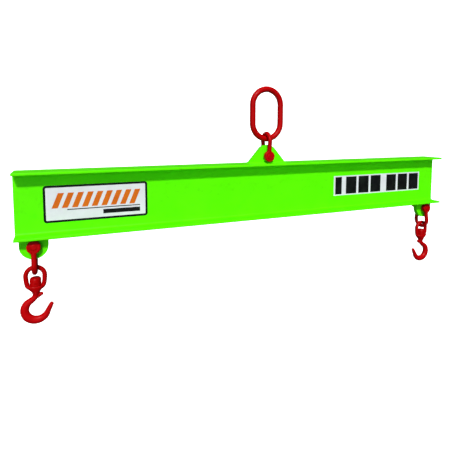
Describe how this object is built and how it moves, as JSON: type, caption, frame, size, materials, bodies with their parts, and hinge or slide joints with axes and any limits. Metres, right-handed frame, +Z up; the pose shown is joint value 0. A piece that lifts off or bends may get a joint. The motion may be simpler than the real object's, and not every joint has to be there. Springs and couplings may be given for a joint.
{
  "type": "spreader beam",
  "caption": "Fixed-length steel lifting beam hung from an oblong link by a shackle, with a shackle and swivel hook under each end.",
  "frame": {"origin": "inside crown of the master link, where the crane hook bears", "axes": "+X along the beam, +Y across the beam from the decal side to the back, +Z up"},
  "size_m": [1.73, 0.106, 0.7743],
  "materials": {
    "green_paint": "gloss",
    "red_paint": "gloss",
    "white_film": "satin",
    "black_ink": "satin",
    "orange_ink": "satin"
  },
  "bodies": {
    "link": {"master_link": "red_paint"},
    "top_shackle": {"top_shackle_bow": "red_paint", "top_shackle_pin": "red_paint"},
    "beam": {"beam": "green_paint", "top_lug": "green_paint", "left_lug": "green_paint", "right_lug": "green_paint", "top_lug_welds": "green_paint", "left_lug_welds": "green_paint", "right_lug_welds": "green_paint", "name_decal": "white_film", "name_decal_border": "black_ink", "name_decal_stripes": "orange_ink", "load_decal": "white_film", "load_decal_blocks": "black_ink"},
    "left_shackle": {"left_shackle_bow": "red_paint", "left_shackle_pin": "red_paint"},
    "right_shackle": {"right_shackle_bow": "red_paint", "right_shackle_pin": "red_paint"},
    "left_swivel": {"left_eye": "red_paint"},
    "right_swivel": {"right_eye": "red_paint"},
    "left_hook": {"left_hook": "red_paint", "left_nut": "red_paint", "left_nut_pin": "red_paint"},
    "right_hook": {"right_hook": "red_paint", "right_nut": "red_paint", "right_nut_pin": "red_paint"}
  },
  "joints": [
    {"name": "top_shackle_swing", "type": "hinge", "parent": "link", "child": "top_shackle", "pos_m": [0, 0, -0.175], "axis": [1, 0, 0], "range_deg": [-90, 90]},
    {"name": "beam_tip", "type": "hinge", "parent": "top_shackle", "child": "beam", "pos_m": [0, 0, -0.2412], "axis": [0, 1, 0], "range_deg": [-55, 55]},
    {"name": "left_shackle_swing", "type": "hinge", "parent": "beam", "child": "left_shackle", "pos_m": [-0.813, 0, -0.4992], "axis": [0, 1, 0], "range_deg": [-75, 90]},
    {"name": "right_shackle_swing", "type": "hinge", "parent": "beam", "child": "right_shackle", "pos_m": [0.813, 0, -0.4992], "axis": [0, 1, 0], "range_deg": [-90, 75]},
    {"name": "left_eye_swing", "type": "hinge", "parent": "left_shackle", "child": "left_swivel", "pos_m": [-0.813, 0, -0.5692], "axis": [1, 0, 0], "range_deg": [-50, 50]},
    {"name": "right_eye_swing", "type": "hinge", "parent": "right_shackle", "child": "right_swivel", "pos_m": [0.813, 0, -0.5692], "axis": [1, 0, 0], "range_deg": [-50, 50]},
    {"name": "left_hook_swivel", "type": "hinge", "parent": "left_swivel", "child": "left_hook", "pos_m": [-0.813, 0, -0.6596], "axis": [0, 0, 1], "continuous": true},
    {"name": "right_hook_swivel", "type": "hinge", "parent": "right_swivel", "child": "right_hook", "pos_m": [0.813, 0, -0.6596], "axis": [0, 0, 1], "continuous": true}
  ]
}
